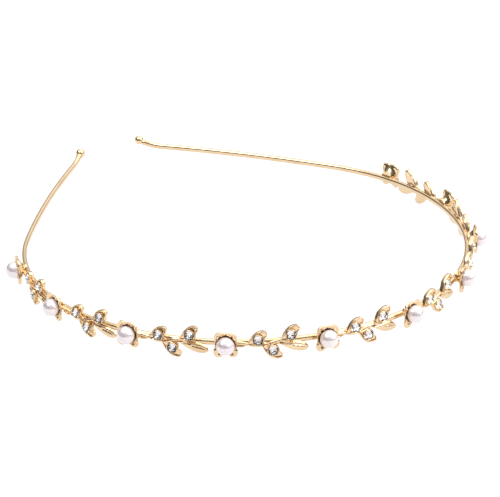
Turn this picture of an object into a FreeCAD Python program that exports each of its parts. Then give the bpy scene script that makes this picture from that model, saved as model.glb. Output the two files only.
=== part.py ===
import FreeCAD, Part
import math
import os

from FreeCAD import Placement, Rotation, Vector

# Bridal tiara: a springy gold-plated strip bent to a round bow with two nearly straight arms that
# close towards each other. Nine cast sprigs and one end calyx are soldered round the outside of the
# bow. Each sprig has a petalled calyx with a pearl on a peg, a vine, three leaves with a rhinestone
# set in each, and a plain tail leaf.
#
# Frame: millimetres, the tiara lying flat as on a table. +Z is up, across the strip's height.
# +Y runs from the crown to the open ends, +X to the right seen from the crown. The origin is the
# centre of the bounding box's base. Everything is built about the crown first, and moved at the end.
# A place on the bow is given by s, along the strip's centreline from the crown, by z, above the
# centreline, and by n, outwards from the centreline.

# ---- driving dimensions -------------------------------------------------------------------------
STRIP_HEIGHT = 1.7
STRIP_THICKNESS = 1.5
STRIP_CORNER = 0.5
BOW_RADIUS = 64.0
BOW_HALF_LENGTH = 140.0
ARM_RADIUS = 350.0
ARM_LENGTH = 57.0
KICK_RADIUS = 18.0
KICK_LENGTH = 7.0
BALL_RADIUS = 1.4
BALL_OVERLAP = 0.9

PITCH = 26.5
SPRIG_COUNT = 9
PATTERN_SHIFT = 0.95

PEARL_RADIUS = 2.5
PEARL_HEIGHT = 0.5
PEG_RADIUS = 0.35
PEG_HOLE_RADIUS = 0.4
PEG_LENGTH = 2.2
PEG_END_GAP = 0.1
CALYX_FLOOR = 0.45
CALYX_FOOT_RADIUS = 1.7
CUP_RADIUS = 3.0
PETAL_ANGLES = (52.0, 128.0, 232.0, 308.0)
PETAL_ROOT = 0.6
PETAL_TIP = 4.8
PETAL_HALF_WIDTH = 1.6
PETAL_THICKNESS = 0.5
PETAL_TILT = 27.0

STONE_RADIUS = 1.3
STONE_TABLE_RADIUS = 0.78
STONE_CROWN = 0.45
STONE_PAVILION = 0.9
STONE_GAP = 0.03
STONE_FACETS = 8
CULET_RADIUS = 0.15
CULET_LIFT = 0.1

# A leaf's outline about its stone: root and tip, and the middle of its bulging and plain edges.
LEAF_ROOT = (-3.0, 0.5)
LEAF_TIP = (3.1, 0.5)
LEAF_BULGE = (0.4, 2.0)
LEAF_EDGE = (0.0, -1.7)
LEAF_THICKNESS = 1.1
LEAF_RIM = 0.32
LEAF_POINT_RIM = 0.75
LEAF_DISH = 0.3
BEZEL_RADIUS = 1.62
BEZEL_HEIGHT = 0.28
GIRDLE_DEPTH = 0.12

VINE_RADIUS = 0.5
TAIL_HALF_LENGTH = 4.1
TAIL_HALF_WIDTH = 1.3
TAIL_THICKNESS = 0.9

# The three set leaves of a sprig: s and z of the stone's centre, the leaf's lean in degrees, and 1
# where the leaf bulges upwards or -1 where it bulges downwards.
LEAVES = (
    (8.3, 1.3, 36.0, 1),
    (12.2, -1.85, -34.0, -1),
    (16.9, 2.35, 38.0, 1),
)
# The plain tail leaf: s, z and lean.
TAIL = (17.9, -1.3, -14.0)
# The vine's course through a sprig, as s and z.
VINE = (
    (1.7, 0.4),
    (4.5, 0.1),
    (7.5, -0.5),
    (10.0, -0.5),
    (12.6, 0.2),
    (14.4, 0.6),
    (15.8, 0.1),
    (17.2, -0.8),
)

# ---- derived dimensions -------------------------------------------------------------------------
OUTER_FACE = STRIP_THICKNESS / 2
# Castings are built this much too deep, and trimmed to the strip's outer face in one cut.
SEAT_BITE = 0.25
LEAF_FACE = OUTER_FACE + LEAF_THICKNESS
PETAL_START = CALYX_FLOOR / 2
BOW_CENTRE = Vector(0, BOW_RADIUS, 0)
UP = Vector(0, 0, 1)


# ---- places on the band -------------------------------------------------------------------------
def on_bow(s, z, n):
    """Return the point at s along the bow, z up and n outwards."""
    angle = s / BOW_RADIUS
    reach = BOW_RADIUS + n
    return BOW_CENTRE + Vector(reach * math.sin(angle), -reach * math.cos(angle), z)


def bow_placement(s, z, n, lean=0.0):
    """Stand a shape on the bow: its X runs along the strip, its Y up and its Z outwards."""
    turn = Placement(Vector(0, 0, 0), Rotation(UP, math.degrees(s / BOW_RADIUS)), BOW_CENTRE)
    stand = Placement(Vector(0, -n, z), Rotation(Vector(1, 0, 0), 90))
    tilt = Placement(Vector(0, 0, 0), Rotation(UP, lean))
    return turn.multiply(stand).multiply(tilt)


def placed(shape, placement):
    """Return a copy of the shape moved by the placement."""
    return shape.transformGeometry(placement.toMatrix())


def turned(shape, s):
    """Return a copy of a shape built at the crown, moved s along the bow."""
    copy = shape.copy()
    copy.rotate(BOW_CENTRE, UP, math.degrees(s / BOW_RADIUS))
    return copy


def extruded(wire, bottom, top):
    """Return the solid between two heights over a flat closed wire."""
    solid = Part.Face(wire).extrude(Vector(0, 0, top - bottom))
    solid.translate(Vector(0, 0, bottom))
    return solid


# ---- strip and ball tips ------------------------------------------------------------------------
def arc_edge(start, direction, side, radius, length):
    """Return an arc that leaves start along direction and bends towards side, and its end."""
    angle = length / radius

    def along(part):
        forward = direction * (radius * math.sin(part * angle))
        sideways = side * (radius * (1 - math.cos(part * angle)))
        return start + forward + sideways

    end_direction = direction * math.cos(angle) + side * math.sin(angle)
    end_side = side * math.cos(angle) - direction * math.sin(angle)
    edge = Part.Arc(start, along(0.5), along(1.0)).toShape()
    return edge, along(1.0), end_direction, end_side


def half_path(hand):
    """Return the edges of one half of the strip's centreline, from the crown to the tip."""
    start = Vector(0, 0, 0)
    direction = Vector(hand, 0, 0)
    side = Vector(0, 1, 0)
    bow, start, direction, side = arc_edge(start, direction, side, BOW_RADIUS, BOW_HALF_LENGTH)
    arm, start, direction, side = arc_edge(start, direction, side, ARM_RADIUS, ARM_LENGTH)
    kick, tip, tip_direction, _ = arc_edge(start, direction, UP, KICK_RADIUS, KICK_LENGTH)
    return [bow, arm, kick], tip, tip_direction


def strip_section(origin, outwards):
    """Return the strip's rounded section in the plane of outwards and up."""
    half_t = STRIP_THICKNESS / 2
    half_h = STRIP_HEIGHT / 2
    bend = STRIP_CORNER * (1 - math.sqrt(0.5))

    def point(a, b):
        return origin + outwards * a + UP * b

    edges = []
    corners = ((1, 1), (-1, 1), (-1, -1), (1, -1))
    for index, (a, b) in enumerate(corners):
        before = point(a * half_t, b * (half_h - STRIP_CORNER))
        middle = point(a * (half_t - bend), b * (half_h - bend))
        after = point(a * (half_t - STRIP_CORNER), b * half_h)
        if a * b < 0:
            before, after = after, before
        edges.append(Part.Arc(before, middle, after).toShape())
        next_a, next_b = corners[(index + 1) % 4]
        if a == next_a:
            straight_end = point(next_a * half_t, next_b * (half_h - STRIP_CORNER))
        else:
            straight_end = point(next_a * (half_t - STRIP_CORNER), next_b * half_h)
        edges.append(Part.makeLine(after, straight_end))
    return Part.Wire(edges)


def make_half_strip(hand):
    """Return one half of the strip, from the crown to a tip."""
    edges, _, _ = half_path(hand)
    section = strip_section(Vector(0, 0, 0), Vector(0, -1, 0))
    return Part.Wire(edges).makePipeShell([section], True, False)


def make_strip():
    return make_half_strip(1).fuse(make_half_strip(-1)).removeSplitter()


def make_ball_tip(hand, strip):
    """Return the ball soldered over one end of the strip."""
    _, tip, direction = half_path(hand)
    centre = tip + direction * (BALL_RADIUS - BALL_OVERLAP)
    return Part.makeSphere(BALL_RADIUS, centre).cut(strip)


# ---- calyx and pearl ----------------------------------------------------------------------------
def make_petal():
    """Return one pointed petal that leans out from the calyx axis along X."""
    length = PETAL_TIP - PETAL_ROOT
    petal = extruded(almond(length / 2, length / 2, PETAL_HALF_WIDTH), -PETAL_THICKNESS, 0.0)
    petal.translate(Vector(PETAL_ROOT + length / 2, 0, 0))
    petal.rotate(Vector(0, 0, 0), Vector(0, 1, 0), -PETAL_TILT)
    petal.translate(Vector(0, 0, PETAL_START))
    return petal


def make_cup():
    """Return the foot and the round cup that joins the petals' lower halves."""
    slope = math.tan(math.radians(PETAL_TILT))
    wall = PETAL_THICKNESS / math.cos(math.radians(PETAL_TILT))
    rim = PETAL_START + CUP_RADIUS * slope
    profile = (
        (0.0, -SEAT_BITE),
        (CALYX_FOOT_RADIUS, -SEAT_BITE),
        (CALYX_FOOT_RADIUS, PETAL_START + CALYX_FOOT_RADIUS * slope - wall),
        (CUP_RADIUS, rim - wall),
        (CUP_RADIUS, rim),
        (0.0, PETAL_START),
        (0.0, -SEAT_BITE),
    )
    outline = Part.makePolygon([Vector(radius, 0, height) for radius, height in profile])
    return Part.Face(outline).revolve(Vector(0, 0, 0), UP, 360)


def make_calyx():
    """Return a calyx with its peg, built with its seat on the XY plane and its axis along Z."""
    centre = Vector(0, 0, CALYX_FLOOR + PEARL_RADIUS)
    calyx = make_cup()
    petal = make_petal()
    for angle in PETAL_ANGLES:
        spread = petal.copy()
        spread.rotate(Vector(0, 0, 0), UP, angle)
        calyx = calyx.fuse(spread)
    calyx = calyx.cut(Part.makeSphere(PEARL_RADIUS, centre))
    peg = Part.makeCylinder(PEG_RADIUS, PEG_LENGTH, Vector(0, 0, PETAL_START))
    return calyx.fuse(peg)


def make_pearl():
    """Return a half-drilled pearl whose lowest point is at the calyx's floor."""
    centre = Vector(0, 0, CALYX_FLOOR + PEARL_RADIUS)
    drilled = Part.makeCylinder(PEG_HOLE_RADIUS, PETAL_START + PEG_LENGTH + PEG_END_GAP)
    return Part.makeSphere(PEARL_RADIUS, centre).cut(drilled)


# ---- leaves and rhinestones ---------------------------------------------------------------------
def almond(base, tip, half_width):
    """Return a pointed leaf outline from (-base, 0) to (tip, 0)."""
    middle = (tip - base) / 2
    start = Vector(-base, 0, 0)
    end = Vector(tip, 0, 0)
    lower = Part.Arc(start, Vector(middle, -half_width, 0), end).toShape()
    upper = Part.Arc(end, Vector(middle, half_width, 0), start).toShape()
    return Part.Wire([lower, upper])


def leaf_outline(side, edge_rim=0.0, point_rim=0.0):
    """Return a leaf's outline, drawn in by a rim; side is 1 or -1 for where it bulges."""
    root = Vector(LEAF_ROOT[0] + point_rim, side * LEAF_ROOT[1], 0)
    tip = Vector(LEAF_TIP[0] - point_rim, side * LEAF_TIP[1], 0)
    bulge = Vector(LEAF_BULGE[0], side * (LEAF_BULGE[1] - edge_rim), 0)
    edge = Vector(LEAF_EDGE[0], side * (LEAF_EDGE[1] + edge_rim), 0)
    return Part.Wire([Part.Arc(root, edge, tip).toShape(), Part.Arc(tip, bulge, root).toShape()])


def make_leaf(side):
    """Return a dished leaf with a bezel, its front face at z = 0 and the stone's axis along Z."""
    back = -LEAF_THICKNESS - SEAT_BITE
    body = extruded(leaf_outline(side), back, 0.0)
    body = body.cut(extruded(leaf_outline(side, LEAF_RIM, LEAF_POINT_RIM), -LEAF_DISH, LEAF_DISH))
    bezel = Part.makeCylinder(BEZEL_RADIUS, BEZEL_HEIGHT - back, Vector(0, 0, back))
    body = body.fuse(bezel)
    seat_radius = STONE_RADIUS + STONE_GAP
    girdle = BEZEL_HEIGHT - GIRDLE_DEPTH
    seat = Part.makeCylinder(seat_radius, BEZEL_HEIGHT, Vector(0, 0, girdle))
    culet = girdle - STONE_PAVILION - STONE_GAP
    pit = Part.makeCone(0.0, seat_radius, girdle - culet, Vector(0, 0, culet))
    return body.cut(seat).cut(pit)


def make_stone():
    """Return a faceted round stone on the leaf's stone axis."""
    girdle = BEZEL_HEIGHT - GIRDLE_DEPTH

    def ring(radius, height):
        points = []
        for index in range(STONE_FACETS):
            angle = 2 * math.pi * index / STONE_FACETS
            points.append(Vector(radius * math.cos(angle), radius * math.sin(angle), height))
        return Part.makePolygon(points + [points[0]])

    widest = ring(STONE_RADIUS, girdle)
    table = ring(STONE_TABLE_RADIUS, girdle + STONE_CROWN)
    culet = ring(CULET_RADIUS, girdle - STONE_PAVILION + CULET_LIFT)
    crown = Part.makeLoft([widest, table], True, True)
    pavilion = Part.makeLoft([culet, widest], True, True)
    return crown.fuse(pavilion).removeSplitter()


def make_tail_leaf():
    """Return the plain tail leaf, lying on the strip's outer face."""
    return extruded(almond(TAIL_HALF_LENGTH, TAIL_HALF_LENGTH, TAIL_HALF_WIDTH), -SEAT_BITE, TAIL_THICKNESS)


def make_vine():
    """Return the round vine that winds along the strip's outer face through a sprig."""
    depth = OUTER_FACE + VINE_RADIUS - SEAT_BITE
    course = Part.BSplineCurve()
    course.interpolate([on_bow(s, z, depth) for s, z in VINE])
    path = Part.Wire(course.toShape())
    start = course.value(course.FirstParameter)
    direction = course.tangent(course.FirstParameter)[0]
    section = Part.Wire(Part.makeCircle(VINE_RADIUS, start, direction))
    return path.makePipeShell([section], True, False)


def seated(shape):
    """Return a casting trimmed flush with the strip's outer face."""
    radius = BOW_RADIUS + OUTER_FACE
    depth = 4 * STRIP_HEIGHT
    return shape.cut(Part.makeCylinder(radius, 2 * depth, BOW_CENTRE - UP * depth))


def make_sprig():
    """Return one cast sprig, built with its pearl at the crown."""
    calyx = placed(make_calyx(), bow_placement(0.0, PEARL_HEIGHT, OUTER_FACE))
    tail_s, tail_z, tail_lean = TAIL
    tail = placed(make_tail_leaf(), bow_placement(tail_s, tail_z, OUTER_FACE, tail_lean))
    branches = [make_vine(), tail]
    for s, z, lean, side in LEAVES:
        branches.append(placed(make_leaf(side), bow_placement(s, z, LEAF_FACE, lean)))
    return seated(calyx.fuse(branches))


# ---- assembly -----------------------------------------------------------------------------------
def make_nodes():
    """Return every node by name, about the crown."""
    nodes = {}
    strip = make_strip()
    nodes["band_strip"] = strip
    nodes["ball_tip_left"] = make_ball_tip(-1, strip)
    nodes["ball_tip_right"] = make_ball_tip(1, strip)

    sprig = make_sprig()
    pearl = placed(make_pearl(), bow_placement(0.0, PEARL_HEIGHT, OUTER_FACE))
    calyx = seated(placed(make_calyx(), bow_placement(0.0, PEARL_HEIGHT, OUTER_FACE)))
    stone = make_stone()
    first = PATTERN_SHIFT - PITCH * SPRIG_COUNT / 2
    for index in range(SPRIG_COUNT + 1):
        s = first + PITCH * index
        nodes[f"pearl_{index + 1:02d}"] = turned(pearl, s)
        if index == SPRIG_COUNT:
            nodes["end_calyx"] = turned(calyx, s)
            continue
        nodes[f"sprig_{index + 1}"] = turned(sprig, s)
        for letter, (leaf_s, leaf_z, lean, _) in zip("abc", LEAVES):
            set_stone = placed(stone, bow_placement(leaf_s, leaf_z, LEAF_FACE, lean))
            nodes[f"rhinestone_{index + 1}{letter}"] = turned(set_stone, s)
    return nodes


def main():
    os.makedirs("parts", exist_ok=True)
    nodes = make_nodes()
    box = Part.makeCompound(list(nodes.values())).optimalBoundingBox(False, False)
    base_centre = Vector((box.XMin + box.XMax) / 2, (box.YMin + box.YMax) / 2, box.ZMin)
    for name, shape in nodes.items():
        shape.translate(-base_centre)
        shape.exportStep(f"parts/{name}.step")
        print(f"{name}: {len(shape.Solids)} solid, {shape.Volume:.1f} mm3, valid {shape.isValid()}")
    print("crown of the strip's centreline at", -base_centre)
    print("size", box.XLength, box.YLength, box.ZLength)


main()
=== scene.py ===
import math
import random

import bmesh
import bpy
from mathutils import Matrix, Vector, noise


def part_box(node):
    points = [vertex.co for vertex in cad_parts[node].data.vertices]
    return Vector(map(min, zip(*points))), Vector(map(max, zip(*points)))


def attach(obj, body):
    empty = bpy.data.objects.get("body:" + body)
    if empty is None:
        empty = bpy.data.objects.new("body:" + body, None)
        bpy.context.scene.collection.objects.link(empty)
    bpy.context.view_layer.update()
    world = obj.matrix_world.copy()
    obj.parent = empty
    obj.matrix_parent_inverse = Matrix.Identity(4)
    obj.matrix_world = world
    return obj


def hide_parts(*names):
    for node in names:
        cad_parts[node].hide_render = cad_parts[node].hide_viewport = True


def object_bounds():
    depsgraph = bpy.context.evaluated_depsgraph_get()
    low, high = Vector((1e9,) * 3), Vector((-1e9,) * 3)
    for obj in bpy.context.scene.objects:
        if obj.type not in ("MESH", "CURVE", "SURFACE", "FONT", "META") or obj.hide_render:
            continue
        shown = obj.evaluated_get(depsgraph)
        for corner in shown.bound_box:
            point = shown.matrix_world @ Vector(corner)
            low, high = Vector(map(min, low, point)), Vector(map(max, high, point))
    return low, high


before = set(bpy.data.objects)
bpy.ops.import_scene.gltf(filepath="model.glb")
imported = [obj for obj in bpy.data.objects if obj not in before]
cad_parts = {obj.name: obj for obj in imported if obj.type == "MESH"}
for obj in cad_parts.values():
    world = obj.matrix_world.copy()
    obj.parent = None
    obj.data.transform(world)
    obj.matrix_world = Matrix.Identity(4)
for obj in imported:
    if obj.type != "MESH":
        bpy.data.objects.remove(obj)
CAD_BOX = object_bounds()
MM = 0.001
random.seed(7)

# ---- driving sizes in millimetres, the same as the CAD's ---------------------------------------
STRIP_HEIGHT = 1.7
STRIP_THICKNESS = 1.5
BOW_RADIUS = 64.0
BOW_HALF_LENGTH = 140.0
ARM_RADIUS = 350.0
ARM_LENGTH = 57.0
KICK_RADIUS = 18.0
KICK_LENGTH = 7.0
BALL_RADIUS = 1.4
BALL_OVERLAP = 0.9

PEARL_COUNT = 10
PEARL_RADIUS = 2.5
PEARL_HEIGHT = 0.5
CALYX_FLOOR = 0.45
OUTER_FACE = STRIP_THICKNESS / 2
SEAT_BITE = 0.25
LEAF_THICKNESS = 1.1
LEAF_FACE = OUTER_FACE + LEAF_THICKNESS
STONE_RADIUS = 1.3

# Places on a sprig are s, along the strip from its pearl, and z, above the strip's centreline.
# Each set leaf has the s and z of its stone, its lean in degrees, and the side its point is on.
# The plain tail leaf has the s, z and lean of its middle. VINE and TENDRIL are two strands' ways.
LEAVES = (
    (8.3, 1.3, 36.0, 1),
    (12.2, -1.85, -34.0, -1),
    (16.9, 2.35, 38.0, 1),
)
TAIL = (17.9, -1.3, -14.0)
VINE = (
    (1.7, 0.4), (4.5, 0.1), (7.5, -0.5), (10.0, -0.5),
    (12.6, 0.2), (14.4, 0.6), (15.8, 0.1), (17.2, -0.8),
)
TENDRIL = ((2.2, -0.6), (4.2, -0.75), (6.0, 0.05), (7.6, 0.2), (9.6, 0.1), (11.2, -0.8), (12.6, -1.1))

UP = Vector((0, 0, 1))
strip_low, strip_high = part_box("band_strip")
CROWN = Vector((
    (strip_low.x + strip_high.x) / 2,
    strip_low.y + MM * STRIP_THICKNESS / 2,
    strip_low.z + MM * STRIP_HEIGHT / 2,
))
BOW_CENTRE = CROWN + Vector((0, MM * BOW_RADIUS, 0))


# ---- places on the band ------------------------------------------------------------------------
def standing(s, z, n, lean=0.0):
    """The matrix that stands a shape in mm on the bow: X along the strip, Y up, Z outwards."""
    turn = Matrix.Rotation(s / BOW_RADIUS, 4, "Z")
    stand = Matrix.Translation((0, -(BOW_RADIUS + n), z)) @ Matrix.Rotation(math.radians(90), 4, "X")
    tilt = Matrix.Rotation(math.radians(lean), 4, "Z")
    return turn @ stand @ tilt


def on_bow(s, z, n):
    """A point in mm about the bow's centre, s along the strip from the crown."""
    angle = s / BOW_RADIUS
    reach = BOW_RADIUS + n
    return Vector((reach * math.sin(angle), -reach * math.cos(angle), z))


def pearl_turn(number):
    """How far round the bow a pearl stands, in radians from the crown, from its CAD node."""
    low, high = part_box(f"pearl_{number:02d}")
    middle = (low + high) / 2 - BOW_CENTRE
    return math.atan2(middle.x, -middle.y)


def to_frame(turn=0.0):
    """The matrix from mm about the bow's centre to metres in the row frame."""
    return Matrix.Translation(BOW_CENTRE) @ Matrix.Scale(MM, 4) @ Matrix.Rotation(turn, 4, "Z")


# ---- mesh making -------------------------------------------------------------------------------
class Shell:
    """Vertices in mm, faces and their material slots, gathered before they become a mesh."""

    def __init__(self):
        self.points = []
        self.faces = []
        self.slots = []

    def add(self, points, faces, matrix=None, slots=None):
        first = len(self.points)
        for point in points:
            self.points.append(matrix @ Vector(point) if matrix else Vector(point))
        for face in faces:
            self.faces.append(tuple(first + index for index in face))
        self.slots.extend(slots if slots else [0] * len(faces))

    def mesh(self, name, matrix):
        mesh = bpy.data.meshes.new(name)
        mesh.from_pydata([matrix @ point for point in self.points], [], self.faces)
        for polygon, slot in zip(mesh.polygons, self.slots):
            polygon.material_index = slot
        return mesh


def ring_faces(rings, size, first_centre=False, last_centre=False):
    """Faces between rings of the same size, with fans where an end closes on one point."""
    faces = []
    offset = 1 if first_centre else 0
    for ring in range(rings - 1):
        a = offset + ring * size
        b = a + size
        for index in range(size):
            after = (index + 1) % size
            faces.append((a + index, a + after, b + after, b + index))
    if first_centre:
        for index in range(size):
            faces.append((0, offset + (index + 1) % size, offset + index))
    if last_centre:
        last = offset + rings * size
        a = last - size
        for index in range(size):
            faces.append((a + index, a + (index + 1) % size, last))
    return faces


def closed_rings(rings, bottom, top):
    """Points and faces of a closed body from rings of points and its two end points."""
    points = [bottom]
    for ring in rings:
        points.extend(ring)
    points.append(top)
    return points, ring_faces(len(rings), len(rings[0]), True, True)


def circle(radius, height, count, first=0.0):
    """A level ring of points; first turns it by that share of a step."""
    ring = []
    for step in range(count):
        angle = 2 * math.pi * (step + first) / count
        ring.append(Vector((radius * math.cos(angle), radius * math.sin(angle), height)))
    return ring


def ring_across(middle, side, rise, radius, count):
    """A ring of points about a middle, in the plane of side and rise."""
    ring = []
    for step in range(count):
        angle = 2 * math.pi * step / count
        ring.append(middle + side * (radius * math.cos(angle)) + rise * (radius * math.sin(angle)))
    return ring


def catmull(points, steps, closed):
    """A smooth curve through the points, as a list of vectors."""
    points = [Vector(point) for point in points]
    count = len(points)
    result = []
    for index in range(count if closed else count - 1):
        if closed:
            a, b, c, d = (points[(index + shift) % count] for shift in (-1, 0, 1, 2))
        else:
            b, c = points[index], points[index + 1]
            a = points[index - 1] if index else b * 2 - c
            d = points[index + 2] if index + 2 < count else c * 2 - b
        for step in range(steps):
            t = step / steps
            result.append(0.5 * (
                2 * b + (c - a) * t + (2 * a - 5 * b + 4 * c - d) * t ** 2
                + (3 * b - a - 3 * c + d) * t ** 3
            ))
    if not closed:
        result.append(points[-1])
    return result


def smoothstep(value):
    """A smooth rise from 0 to 1 while the value goes from 0 to 1."""
    value = max(0.0, min(1.0, value))
    return value * value * (3 - 2 * value)


def hump(value, middle, width):
    """A soft hump of height 1 at the middle."""
    return math.exp(-(((value - middle) / width) ** 2))


def piecewise(pairs, x):
    """Linear interpolation in a short list of (x, y) pairs."""
    for (x0, y0), (x1, y1) in zip(pairs, pairs[1:]):
        if x <= x1:
            return y0 + (y1 - y0) * max(0.0, (x - x0) / (x1 - x0))
    return pairs[-1][1]


def tube(course, radii, section_size):
    """Points and faces of a closed round tube along a course, with flat ends."""
    rings = []
    count = len(course)
    for index, point in enumerate(course):
        before = course[max(index - 1, 0)]
        after = course[min(index + 1, count - 1)]
        forward = (after - before).normalized()
        side = UP.cross(forward).normalized()
        rise = forward.cross(side)
        rings.append(ring_across(point, side, rise, radii[index], section_size))
    return closed_rings(rings, course[0], course[-1])


# ---- materials ---------------------------------------------------------------------------------
class Nodes:
    """A short way to write a node material."""

    def __init__(self, name):
        self.material = bpy.data.materials.new(name)
        self.material.use_nodes = True
        self.tree = self.material.node_tree
        self.shader = self.tree.nodes["Principled BSDF"]
        self.place = self.tree.nodes.new("ShaderNodeTexCoord").outputs["Object"]

    def set(self, **values):
        for name, value in values.items():
            self.shader.inputs[name.replace("_", " ")].default_value = value

    def noise(self, scale, detail=2.0, roughness=0.5):
        node = self.tree.nodes.new("ShaderNodeTexNoise")
        node.inputs["Scale"].default_value = scale
        node.inputs["Detail"].default_value = detail
        node.inputs["Roughness"].default_value = roughness
        self.tree.links.new(self.place, node.inputs["Vector"])
        return node.outputs["Fac"]

    def ramp(self, source, stops):
        node = self.tree.nodes.new("ShaderNodeValToRGB")
        elements = node.color_ramp.elements
        while len(elements) < len(stops):
            elements.new(0.5)
        for element, (position, colour) in zip(elements, stops):
            element.position = position
            element.color = (*colour, 1.0)
        self.tree.links.new(source, node.inputs["Fac"])
        return node.outputs["Color"]

    def spread(self, source, low, high, name):
        """Drive a shader input by a factor, mapped from 0.3-0.7 to low-high."""
        node = self.tree.nodes.new("ShaderNodeMapRange")
        node.inputs["From Min"].default_value = 0.3
        node.inputs["From Max"].default_value = 0.7
        node.inputs["To Min"].default_value = low
        node.inputs["To Max"].default_value = high
        self.tree.links.new(source, node.inputs["Value"])
        self.tree.links.new(node.outputs["Result"], self.shader.inputs[name])

    def colour(self, source):
        self.tree.links.new(source, self.shader.inputs["Base Color"])

    def bump(self, source, strength, distance):
        node = self.tree.nodes.new("ShaderNodeBump")
        node.inputs["Strength"].default_value = strength
        node.inputs["Distance"].default_value = distance
        self.tree.links.new(source, node.inputs["Height"])
        self.tree.links.new(node.outputs["Normal"], self.shader.inputs["Normal"])


def gold_material(name, tint, low_rough, high_rough, bump):
    """Pale champagne gold plating, with faint tarnish, handling haze and fine dents."""
    nodes = Nodes(name)
    nodes.set(Metallic=1.0)
    blotch = nodes.noise(180.0, 3.0)
    pale = tuple(min(1.0, part * 1.04) for part in tint)
    deep = tuple(part * shade for part, shade in zip(tint, (0.93, 0.88, 0.80)))
    nodes.colour(nodes.ramp(blotch, ((0.3, deep), (0.5, tint), (0.72, pale))))
    nodes.spread(nodes.noise(600.0, 4.0, 0.6), low_rough, high_rough, "Roughness")
    nodes.bump(nodes.noise(1100.0, 3.0), bump, 0.00008)
    return nodes.material


def pearl_material():
    """Glossy imitation pearl: a half-metallic sheen in lavender and pink under a clear coat."""
    nodes = Nodes("pearl_lacquer")
    nodes.set(Metallic=0.45, Specular_IOR_Level=0.7)
    nodes.set(Coat_Weight=1.0, Coat_Roughness=0.08, Coat_IOR=1.6)
    nodes.set(Subsurface_Weight=0.1, Subsurface_Scale=0.0006, Subsurface_Radius=(1.0, 0.8, 0.7))
    bloom = nodes.noise(260.0, 2.0)
    nodes.colour(nodes.ramp(
        bloom, ((0.32, (0.80, 0.74, 0.84)), (0.5, (0.85, 0.78, 0.82)), (0.68, (0.87, 0.79, 0.77)))
    ))
    nodes.spread(nodes.noise(900.0, 3.0), 0.18, 0.34, "Roughness")
    nodes.bump(nodes.noise(1500.0, 2.0), 0.06, 0.00005)
    return nodes.material


def crystal_material():
    """Clear glass with slight smears."""
    nodes = Nodes("crystal_glass")
    nodes.set(Transmission_Weight=1.0, IOR=1.56)
    smear = nodes.noise(700.0, 2.0)
    nodes.colour(nodes.ramp(smear, ((0.3, (0.95, 0.95, 0.98)), (0.7, (1.0, 1.0, 1.0)))))
    nodes.spread(smear, 0.0, 0.04, "Roughness")
    return nodes.material


def foil_material():
    """The silvered back of a rhinestone."""
    nodes = Nodes("crystal_foil")
    nodes.set(Metallic=1.0)
    cloud = nodes.noise(500.0, 3.0)
    nodes.colour(nodes.ramp(cloud, ((0.3, (0.88, 0.86, 0.90)), (0.7, (0.98, 0.97, 0.96)))))
    nodes.spread(cloud, 0.03, 0.10, "Roughness")
    return nodes.material


STRIP_GOLD = gold_material("strip_gold_plate", (0.76, 0.58, 0.38), 0.12, 0.22, 0.10)
CAST_GOLD = gold_material("cast_gold_plate", (0.80, 0.61, 0.40), 0.10, 0.22, 0.55)
PEARL = pearl_material()
CRYSTAL = crystal_material()
FOIL = foil_material()


def face_outwards(mesh):
    """Turn every face of a closed mesh outwards."""
    work = bmesh.new()
    work.from_mesh(mesh)
    bmesh.ops.recalc_face_normals(work, faces=work.faces)
    work.to_mesh(mesh)
    work.free()


def finish_piece(mesh, name, node, materials, smooth_angle=None):
    """Make the object that stands for a CAD node, smooth up to an angle in degrees or faceted."""
    for material in materials:
        mesh.materials.append(material)
    face_outwards(mesh)
    if smooth_angle is not None:
        mesh.shade_smooth()
        mesh.set_sharp_from_angle(angle=math.radians(smooth_angle))
    piece = bpy.data.objects.new(name, mesh)
    bpy.context.scene.collection.objects.link(piece)
    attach(piece, "root")
    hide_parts(node)


# ---- strip and ball tips -----------------------------------------------------------------------
ROUND_STEPS = 32
STRIP_ROUNDING = 2.35
STRIP_WANDER = 0.012
# The collar of a ball tip, as distance from the ball's centre along the strip and radius.
TIP_COLLAR_LENGTH = 1.95
TIP_COLLAR = ((-TIP_COLLAR_LENGTH, 0.84), (-1.9, 0.93), (-1.7, 0.97), (-1.5, 0.94), (-1.35, 0.86))
# The back of the ball shows only where it is wider than this.
TIP_COLLAR_RADIUS = 0.85
BALL_STEPS = 24


def arc_walk(start, direction, side, radius, length, step):
    """(point, forward) pairs along an arc that bends towards side, and the side at its end."""
    places = []
    count = max(2, round(length / step))
    for index in range(1, count + 1):
        angle = index / count * length / radius
        point = start + direction * (radius * math.sin(angle)) + side * (radius * (1 - math.cos(angle)))
        places.append((point, direction * math.cos(angle) + side * math.sin(angle)))
    angle = length / radius
    end_side = side * math.cos(angle) - direction * math.sin(angle)
    return places, end_side


def half_band(hand):
    """(point, forward) along one half of the centreline: the bow, the arm and the raised end."""
    crown = (Vector((0, -BOW_RADIUS, 0)), Vector((hand, 0, 0)))
    bow, side = arc_walk(*crown, Vector((0, 1, 0)), BOW_RADIUS, BOW_HALF_LENGTH, 1.25)
    arm, side = arc_walk(*bow[-1], side, ARM_RADIUS, ARM_LENGTH, 2.5)
    kick, _ = arc_walk(*arm[-1], UP, KICK_RADIUS, KICK_LENGTH, 0.5)
    return [crown] + bow + arm + kick


def strip_section():
    """The strip's section as (outwards, up) pairs: an oval, a little squarer than an ellipse."""
    section = []
    for point in circle(1.0, 0.0, ROUND_STEPS, 0.5):
        reach = (abs(point.x) ** STRIP_ROUNDING + abs(point.y) ** STRIP_ROUNDING) ** (-1 / STRIP_ROUNDING)
        section.append((reach * point.x * STRIP_THICKNESS / 2, reach * point.y * STRIP_HEIGHT / 2))
    return section


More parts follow.
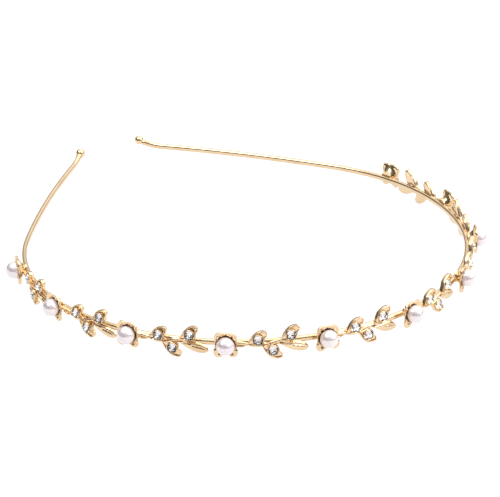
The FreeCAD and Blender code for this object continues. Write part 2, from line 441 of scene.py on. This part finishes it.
def make_strip():
    """The whole strip, swept from the left tip round the crown to the right tip, a little uneven."""
    left = [(point, -forward) for point, forward in reversed(half_band(-1))]
    places = left + half_band(1)[1:]
    section = strip_section()
    rings = []
    for index, (point, forward) in enumerate(places):
        side = forward.cross(UP).normalized()
        rise = side.cross(forward)
        wander = STRIP_WANDER * noise.noise(Vector((index * 0.11, 0.0, 3.1)))
        ring = []
        for out, upward in section:
            ring.append(point + side * (out * (1 + wander)) + rise * (upward * (1 - wander)))
        rings.append(ring)
    shell = Shell()
    shell.add(*closed_rings(rings, places[0][0], places[-1][0]))
    mesh = shell.mesh("strip", to_frame())
    finish_piece(mesh, "strip", "band_strip", [STRIP_GOLD], 50)


def make_ball(hand, name, node):
    """A turned ball that closes a tip, with a short collar round the strip's end."""
    point, forward = half_band(hand)[-1]
    centre = point + forward * (BALL_RADIUS - BALL_OVERLAP)
    side = forward.cross(UP).normalized()
    rise = side.cross(forward)
    profile = list(TIP_COLLAR)
    for step in range(2, BALL_STEPS):
        angle = math.pi * (1 - step / BALL_STEPS)
        if BALL_RADIUS * math.sin(angle) > TIP_COLLAR_RADIUS or angle < math.pi / 2:
            profile.append((BALL_RADIUS * math.cos(angle), BALL_RADIUS * math.sin(angle)))
    rings = []
    for along, radius in profile:
        rings.append(ring_across(centre + forward * along, side, rise, radius, ROUND_STEPS))
    shell = Shell()
    shell.add(*closed_rings(rings, centre - forward * TIP_COLLAR_LENGTH, centre + forward * BALL_RADIUS))
    finish_piece(shell.mesh(name, to_frame()), name, node, [CAST_GOLD], 50)


# ---- parts of a sprig, in mm -------------------------------------------------------------------
CALYX_STEPS = 144
CALYX_INNER = 0.4
# The calyx's rings: shares of the way out to the rim, then shares and drops below the face for
# its edge and back, then radius and height for its foot. The pattern fades out down the edge.
CALYX_LEVELS = (0.0, 0.12, 0.24, 0.33, 0.41, 0.48, 0.54, 0.60, 0.66, 0.73, 0.80, 0.87, 0.94, 0.985)
CALYX_EDGE = ((1.0, 0.12), (1.0, 0.36))
CALYX_BACK = ((0.97, 0.54), (0.88, 0.70), (0.76, 0.76), (0.62, 0.70), (0.48, 0.56))
CALYX_RELIEF_DROP = 0.4
FOOT_BASE = -SEAT_BITE - 0.15
FOOT = ((1.55, 0.30), (1.48, 0.12), (1.62, 0.0), (1.7, -0.12), (1.7, FOOT_BASE))

# The rim's radius at angles in degrees: a petal at every second one, a notch between.
RIM = (
    (0.0, 2.9), (52.0, 4.0), (90.0, 3.5), (128.0, 4.1), (180.0, 2.85),
    (232.0, 4.45), (270.0, 2.7), (308.0, 4.3), (360.0, 2.9),
)
# The height of the calyx's face at a radius: a floor, a steep side round the pearl, a flat lip.
CUP_PROFILE = (
    (0.0, 0.42), (1.0, 0.52), (1.6, 0.86), (2.1, 1.36), (2.45, 1.82),
    (2.8, 2.06), (3.3, 2.14), (3.8, 2.14), (4.5, 2.02),
)


def cup_height(radius, across, relief):
    """Height of the calyx's face; across is 0 on a petal's midrib and 1 between petals."""
    height = piecewise(CUP_PROFILE, radius)
    share = smoothstep((radius - 1.4) / 1.2)
    groove = -0.20 * hump(across, 0.0, 0.13) * (1 - smoothstep((radius - 2.9) / 0.9))
    ridge = 0.14 * hump(across, 0.36, 0.16)
    fine = -0.10 * hump(across, 0.62, 0.08)
    crease = -0.24 * hump(across, 1.0, 0.12)
    cupping = 0.16 * across ** 1.4 * smoothstep((radius - 2.5) / 0.7)
    return height + cupping + relief * share * (groove + ridge + fine + crease)


def rim_at(angle):
    """The calyx's rim radius at an angle, and how far across its petal that angle is, 0 to 1."""
    place = math.degrees(angle) % 360.0
    for index, ((before, low), (after, high)) in enumerate(zip(RIM, RIM[1:])):
        if place <= after:
            share = (place - before) / (after - before)
            ease = 0.5 - 0.5 * math.cos(math.pi * share)
            return low + (high - low) * ease, share if index % 2 else 1 - share
    return RIM[0][1], 1.0


def calyx_body():
    """A cup of four rounded petals that run together low down, on a round foot."""
    layers = [(t, 0.0) for t in CALYX_LEVELS] + list(CALYX_EDGE + CALYX_BACK)
    rings = []
    for t, drop in layers:
        relief = max(0.0, 1 - drop / CALYX_RELIEF_DROP)
        ring = []
        for step in range(CALYX_STEPS):
            angle = 2 * math.pi * step / CALYX_STEPS
            rim, across = rim_at(angle)
            radius = CALYX_INNER + (rim - CALYX_INNER) * t
            height = cup_height(radius, across, relief) - drop
            ring.append(Vector((radius * math.cos(angle), radius * math.sin(angle), height)))
        rings.append(ring)
    for radius, height in FOOT:
        rings.append(circle(radius, height, CALYX_STEPS))
    return closed_rings(rings, Vector((0, 0, CUP_PROFILE[0][1])), Vector((0, 0, FOOT_BASE)))


LEAF_OUTLINE = (
    (-3.0, 0.5), (-2.2, -0.4), (-1.25, -1.25), (-0.1, -1.68), (0.9, -1.5), (1.6, -1.0), (2.15, -0.55),
    (2.7, -0.45), (3.1, 0.0), (3.15, 0.55), (2.8, 1.15), (1.9, 1.7), (0.8, 1.95), (-0.4, 1.85),
    (-1.6, 1.45), (-2.5, 0.95),
)
LEAF_BACK = -LEAF_THICKNESS - SEAT_BITE
LEAF_INNER = 1.66
TIP_LIFT = 0.12
# Round the leaf's edge from its back to the rim's inner side: how far in from the outline, the
# height, and how much the place sinks where the leaf is wide.
LEAF_EDGE = (
    (0.50, LEAF_BACK, 0.0), (0.22, LEAF_BACK + 0.10, 0.0), (0.07, LEAF_BACK + 0.30, 0.0), (0.0, -0.30, 0.0),
    (0.02, -0.07, 0.0), (0.10, 0.0, 0.0), (0.22, 0.01, 0.0), (0.32, -0.04, 0.06), (0.38, -0.06, 0.28),
)
# Across the dished floor to the stone's collar: the share of the way, and how deep it lies.
FLOOR_EDGE = 0.46
LEAF_FLOOR = ((0.15, 0.42), (0.5, 0.50), (1.0, 0.5))
# The stone's collar and its socket, as radius and height, from the floor inwards.
STONE_COLLAR_FOOT = (1.61, -0.42)
STONE_COLLAR = (
    (1.59, 0.12), (1.55, 0.24), (1.48, 0.28), (1.4, 0.24), (1.33, 0.12), (1.32, -0.05), (0.9, -0.45),
)
SOCKET_DEPTH = 0.8


def leaf_body(hand):
    """A dished setting with a raised rim, a lifted point on one side and a collar for the stone."""
    outline = [Vector((x, y * hand, 0)) for x, y in LEAF_OUTLINE]
    if hand < 0:
        outline.reverse()
    outline = catmull(outline, 6, True)

    def rim_ring(inset, height, dish):
        ring = []
        for point in outline:
            reach = point.length
            new_reach = max(reach - inset, LEAF_INNER)
            room = smoothstep((reach - inset - LEAF_INNER) / 0.5)
            flat = point * (new_reach / reach)
            lift = TIP_LIFT * smoothstep((flat.x - 1.6) / 1.7)
            ring.append(Vector((flat.x, flat.y, height - dish * room + lift)))
        return ring

    def round_ring(radius, height):
        return [point.normalized() * radius + Vector((0, 0, height)) for point in outline]

    rings = [rim_ring(inset, height, dish) for inset, height, dish in LEAF_EDGE]
    collar_foot = round_ring(*STONE_COLLAR_FOOT)
    for share, dish in LEAF_FLOOR:
        floor_edge = rim_ring(FLOOR_EDGE, 0.0, dish)
        rings.append([outer.lerp(inner, share) for outer, inner in zip(floor_edge, collar_foot)])
    for radius, height in STONE_COLLAR:
        rings.append(round_ring(radius, height))
    return closed_rings(rings, Vector((0, 0, LEAF_BACK)), Vector((0, 0, -SOCKET_DEPTH)))


TAIL_HALF_LENGTH = 4.1
TAIL_HALF_WIDTH = 1.5
TAIL_THICKNESS = 0.9
TAIL_END_HEIGHT = 0.05
TAIL_VEINS = 6.5
TAIL_STEPS = 40
TAIL_FACE_STEPS = 12
TAIL_BACK_STEPS = 6


def tail_face(t, v, crest):
    """Height of the tail leaf's face at t along it and v across it, -1 to 1."""
    dome = crest * (1 - abs(v) ** 2.4) ** 0.55
    vein = 0.04 * math.sin(2 * math.pi * (TAIL_VEINS * t + 0.6 * abs(v)))
    groove = -0.34 * hump(v, 0.35, 0.13) * smoothstep((t - 0.35) / 0.2)
    return dome + (vein + groove) * (1 - abs(v)) ** 0.5 * math.sin(math.pi * t)


def tail_body():
    """A plain leaf with notched edges, one groove beside its middle and slanting veins."""
    rings = []
    for index in range(1, TAIL_STEPS):
        t = index / TAIL_STEPS
        x = TAIL_HALF_LENGTH * (2 * t - 1)
        notch = 0.95 + 0.05 * abs(math.sin(math.pi * TAIL_VEINS * t))
        width = TAIL_HALF_WIDTH * (math.sin(math.pi * t ** 1.5) ** 0.55) * notch
        crest = TAIL_THICKNESS * (0.35 + 0.65 * math.sin(math.pi * t) ** 0.5)
        ring = []
        for step in range(TAIL_FACE_STEPS + 1):
            v = step / TAIL_FACE_STEPS * 2 - 1
            ring.append(Vector((x, width * v, tail_face(t, v, crest))))
        for step in range(1, TAIL_BACK_STEPS):
            v = 1 - step / TAIL_BACK_STEPS * 2
            ring.append(Vector((x, width * v, -SEAT_BITE)))
        rings.append(ring)
    first = Vector((-TAIL_HALF_LENGTH, 0, TAIL_END_HEIGHT))
    last = Vector((TAIL_HALF_LENGTH, 0, TAIL_END_HEIGHT))
    return closed_rings(rings, first, last)


VINE_RADIUS = 0.5
VINE_LIFT = 0.25
TENDRIL_RADIUS = 0.34
TENDRIL_LIFT = 0.2


def strand_course(route, depth):
    """A smooth course through (s, z) places on the bow, at one depth."""
    places = catmull([(s, z, 0) for s, z in route], 8, False)
    return [on_bow(place.x, place.y, depth) for place in places]


def vine_body():
    """The vine that winds along the strip's outer face, with knots and a thinner end."""
    course = strand_course(VINE, OUTER_FACE + VINE_LIFT)
    radii = []
    for index in range(len(course)):
        t = index / (len(course) - 1)
        radii.append(VINE_RADIUS + 0.06 * math.sin(t * 26.0) - 0.14 * smoothstep((t - 0.75) / 0.25))
    return tube(course, radii, 14)


def tendril_body():
    """A thinner strand that crosses the vine between the calyx and the second leaf."""
    course = strand_course(TENDRIL, OUTER_FACE + TENDRIL_LIFT)
    return tube(course, [TENDRIL_RADIUS] * len(course), 12)


CALYX_SEAT = standing(0.0, PEARL_HEIGHT, OUTER_FACE)


def sprig_template():
    """One sprig with its pearl's place at the crown: closed bodies and where each one stands."""
    bodies = [(calyx_body(), CALYX_SEAT), (vine_body(), None), (tendril_body(), None)]
    for s, z, lean, hand in LEAVES:
        bodies.append((leaf_body(hand), standing(s, z, LEAF_FACE, lean)))
    tail_s, tail_z, tail_lean = TAIL
    bodies.append((tail_body(), standing(tail_s, tail_z, OUTER_FACE, tail_lean)))
    return bodies


def united(bodies, name):
    """One closed mesh in mm from overlapping bodies."""
    base = None
    for number, (body, matrix) in enumerate(bodies):
        shell = Shell()
        shell.add(*body, matrix)
        mesh = shell.mesh(f"{name}_{number}", Matrix.Identity(4))
        face_outwards(mesh)
        piece = bpy.data.objects.new(f"{name}_{number}", mesh)
        bpy.context.scene.collection.objects.link(piece)
        if base is None:
            base = piece
            continue
        join = base.modifiers.new("join", "BOOLEAN")
        join.operation = "UNION"
        join.solver = "EXACT"
        join.object = piece
        graph = bpy.context.evaluated_depsgraph_get()
        result = bpy.data.meshes.new_from_object(base.evaluated_get(graph))
        base.modifiers.clear()
        base.data = result
        bpy.data.objects.remove(piece)
    mesh = base.data
    bpy.data.objects.remove(base)
    return mesh


def moved_copy(mesh, name, matrix):
    """A copy of a mesh in mm, moved to its place in the row frame."""
    copy = mesh.copy()
    copy.name = name
    copy.materials.clear()
    copy.transform(matrix)
    return copy


# ---- pearl and rhinestone ----------------------------------------------------------------------
PEARL_UNEVEN = 0.018
PEARL_SHRINK = 0.008
DRILL_DIMPLE = 0.10
DIMPLE_WIDTH = 0.16


def pearl_mesh(name, turn, number):
    """A slightly uneven pearl on the calyx's floor, with a dimple where it is drilled."""
    centre = Vector((0, 0, CALYX_FLOOR + PEARL_RADIUS))
    work = bmesh.new()
    bmesh.ops.create_uvsphere(work, u_segments=56, v_segments=36, radius=PEARL_RADIUS)
    for vertex in work.verts:
        direction = vertex.co.normalized()
        uneven = PEARL_UNEVEN * noise.noise(direction * 1.7 + Vector((number * 3.7, 0, 0)))
        dimple = DRILL_DIMPLE * hump((direction + UP).length, 0.0, DIMPLE_WIDTH)
        vertex.co = direction * (PEARL_RADIUS * (1 + uneven - PEARL_SHRINK) - dimple)
    matrix = to_frame(turn) @ CALYX_SEAT @ Matrix.Translation(centre)
    bmesh.ops.transform(work, matrix=matrix, verts=work.verts)
    mesh = bpy.data.meshes.new(name)
    work.to_mesh(mesh)
    work.free()
    return mesh


# The girdle's height over the leaf's face.
GIRDLE_HEIGHT = 0.16
FACETS = 8
GLASS = 0
SILVERED = 1
# The stone's rings of points from the table down: points, radius, height above the girdle, turn.
STONE_RINGS = (
    (FACETS, 0.76, 0.42, 0.0),
    (FACETS, 1.03, 0.27, 0.5),
    (2 * FACETS, STONE_RADIUS, 0.04, 0.0),
    (2 * FACETS, STONE_RADIUS, -0.03, 0.0),
    (FACETS, 0.62, -0.45, 0.5),
)
CULET_DEPTH = 0.80


def stone_body():
    """A round brilliant: table, stars, kites and girdle facets over a pointed pavilion."""
    points = []
    starts = []
    for count, radius, height, turn in STONE_RINGS:
        starts.append(len(points))
        points.extend(circle(radius, GIRDLE_HEIGHT + height, count, turn))
    table, star, upper, lower, belly = starts
    culet = len(points)
    points.append(Vector((0, 0, GIRDLE_HEIGHT - CULET_DEPTH)))

    faces = [tuple(range(table, table + FACETS))]
    slots = [GLASS]
    for index in range(FACETS):
        after = (index + 1) % FACETS
        before = (index - 1) % FACETS
        even, odd, next_even = 2 * index, 2 * index + 1, (2 * index + 2) % (2 * FACETS)
        crown_faces = [
            (table + index, star + index, table + after),
            (table + index, star + before, upper + even, star + index),
            (star + index, upper + even, upper + odd),
            (star + index, upper + odd, upper + next_even),
            (upper + even, lower + even, lower + odd, upper + odd),
            (upper + odd, lower + odd, lower + next_even, upper + next_even),
        ]
        pavilion_faces = [
            (lower + even, belly + before, culet, belly + index),
            (belly + index, lower + odd, lower + even),
            (belly + index, lower + next_even, lower + odd),
        ]
        faces += crown_faces + pavilion_faces
        slots += [GLASS] * len(crown_faces) + [SILVERED] * len(pavilion_faces)
    return points, faces, slots


# ---- building ----------------------------------------------------------------------------------
make_strip()
make_ball(-1, "ball_left", "ball_tip_left")
make_ball(1, "ball_right", "ball_tip_right")

sprig = united(sprig_template(), "sprig_part")
calyx = united([(calyx_body(), CALYX_SEAT)], "calyx_part")
stone_points, stone_faces, stone_slots = stone_body()
for number in range(1, PEARL_COUNT + 1):
    turn = pearl_turn(number)
    pearl = pearl_mesh(f"pearl_bead_{number}", turn, number)
    finish_piece(pearl, f"pearl_bead_{number}", f"pearl_{number:02d}", [PEARL], 80)
    if number == PEARL_COUNT:
        mesh = moved_copy(calyx, "last_calyx", to_frame(turn))
        finish_piece(mesh, "last_calyx", "end_calyx", [CAST_GOLD], 42)
        continue
    mesh = moved_copy(sprig, f"leaf_sprig_{number}", to_frame(turn))
    finish_piece(mesh, f"leaf_sprig_{number}", f"sprig_{number}", [CAST_GOLD], 42)
    for letter, (s, z, lean, _) in zip("abc", LEAVES):
        shell = Shell()
        twist = random.uniform(-30, 30)
        shell.add(stone_points, stone_faces, standing(s, z, LEAF_FACE, lean + twist), stone_slots)
        name = f"stone_{number}{letter}"
        mesh = shell.mesh(name, to_frame(turn))
        finish_piece(mesh, name, f"rhinestone_{number}{letter}", [CRYSTAL, FOIL])


# ---- studio ------------------------------------------------------------------------------------
FLOOR_GAP = 0.0002
SWEEP_MIDDLE = (0.45, 0.05, 0.89)
SWEEP_LEVELS = ((0.3, 0.04), (0.56, 0.08), (0.72, 0.28), (0.86, 0.55), (0.95, 1.0))
HORIZON_LEVELS = ((0.0, 0.12), (0.07, 0.15), (0.24, 1.0))
SOFTBOX_DISTANCE = 0.8


def make_floor():
    """A plain white table top under the tiara, glowing enough to show hardly any shadow."""
    work = bmesh.new()
    bmesh.ops.create_grid(work, x_segments=8, y_segments=8, size=4.0)
    mesh = bpy.data.meshes.new("floor")
    work.to_mesh(mesh)
    work.free()
    nodes = Nodes("table_white")
    nodes.set(Roughness=0.9, Specular_IOR_Level=0.1)
    nodes.set(Emission_Color=(1.0, 1.0, 1.0, 1.0), Emission_Strength=0.84)
    nodes.colour(nodes.ramp(nodes.noise(3.0), ((0.3, (0.20, 0.20, 0.20)), (0.7, (0.22, 0.22, 0.22)))))
    mesh.materials.append(nodes.material)
    floor = bpy.data.objects.new("floor", mesh)
    floor.location.z = CAD_BOX[0].z - FLOOR_GAP
    bpy.context.scene.collection.objects.link(floor)


def fill_ramp(ramp, stops):
    """Set a colour ramp to slightly warm greys from (position, level) pairs."""
    elements = ramp.color_ramp.elements
    while len(elements) < len(stops):
        elements.new(0.5)
    for element, (position, level) in zip(elements, stops):
        element.position = position
        element.color = (level, level * 0.985, level * 0.96, 1.0)


def make_world():
    """A soft white light overhead and to the right, in a dim room that darkens at the horizon."""
    world = bpy.data.worlds.new("room")
    world.use_nodes = True
    tree = world.node_tree
    background = tree.nodes["Background"]
    background.inputs["Strength"].default_value = 2.3
    place = tree.nodes.new("ShaderNodeTexCoord").outputs["Generated"]
    facing = tree.nodes.new("ShaderNodeVectorMath")
    facing.operation = "DOT_PRODUCT"
    facing.inputs[1].default_value = Vector(SWEEP_MIDDLE).normalized()
    tree.links.new(place, facing.inputs[0])
    half = tree.nodes.new("ShaderNodeMath")
    half.operation = "MULTIPLY_ADD"
    half.inputs[1].default_value = 0.5
    half.inputs[2].default_value = 0.5
    tree.links.new(facing.outputs["Value"], half.inputs[0])
    sweep = tree.nodes.new("ShaderNodeValToRGB")
    fill_ramp(sweep, SWEEP_LEVELS)
    tree.links.new(half.outputs["Value"], sweep.inputs["Fac"])
    split = tree.nodes.new("ShaderNodeSeparateXYZ")
    tree.links.new(place, split.inputs["Vector"])
    horizon = tree.nodes.new("ShaderNodeValToRGB")
    fill_ramp(horizon, HORIZON_LEVELS)
    tree.links.new(split.outputs["Z"], horizon.inputs["Fac"])
    both = tree.nodes.new("ShaderNodeMix")
    both.data_type = "RGBA"
    both.blend_type = "MULTIPLY"
    both.inputs["Factor"].default_value = 1.0
    tree.links.new(sweep.outputs["Color"], both.inputs["A"])
    tree.links.new(horizon.outputs["Color"], both.inputs["B"])
    tree.links.new(both.outputs["Result"], background.inputs["Color"])
    bpy.context.scene.world = world


def seen_from(azimuth, elevation):
    """The unit vector towards a place in degrees: 0, 0 is in front of the crown and 90, 0 to the right."""
    a = math.radians(azimuth)
    e = math.radians(elevation)
    return Vector((math.sin(a) * math.cos(e), -math.cos(a) * math.cos(e), math.sin(e)))


def make_softbox(name, azimuth, elevation, size, power):
    """A square soft light aimed at the tiara."""
    data = bpy.data.lights.new(name, "AREA")
    data.shape = "SQUARE"
    data.size = size
    data.energy = power
    light = bpy.data.objects.new(name, data)
    back = seen_from(azimuth, elevation)
    light.location = back * SOFTBOX_DISTANCE
    light.rotation_euler = (-back).to_track_quat("-Z", "Y").to_euler()
    bpy.context.scene.collection.objects.link(light)


def make_camera():
    """A long lens from the front left, looking down on the band."""
    roll = math.radians(-1.076)
    distance = 0.693606
    target = CROWN + MM * Vector((-0.569, 60.509, 0.0))
    back = seen_from(-29.838, 24.186)
    right = (-back).cross(UP).normalized()
    up = right.cross(-back)
    turned_right = right * math.cos(roll) + up * math.sin(roll)
    turned_up = up * math.cos(roll) - right * math.sin(roll)
    data = bpy.data.cameras.new("camera")
    data.sensor_width = 36.0
    data.lens = 172.88
    data.clip_start = 0.01
    data.clip_end = 20.0
    camera = bpy.data.objects.new("camera", data)
    pose = Matrix((turned_right, turned_up, back)).transposed().to_4x4()
    pose.translation = target + back * distance
    camera.matrix_world = pose
    bpy.context.scene.collection.objects.link(camera)
    bpy.context.scene.camera = camera


make_floor()
make_world()
make_softbox("softbox_left", -93, 61, 0.42, 2.3)
make_softbox("softbox_right", 34, 37, 0.38, 1.8)
make_camera()
bpy.context.scene.view_settings.view_transform = "Standard"
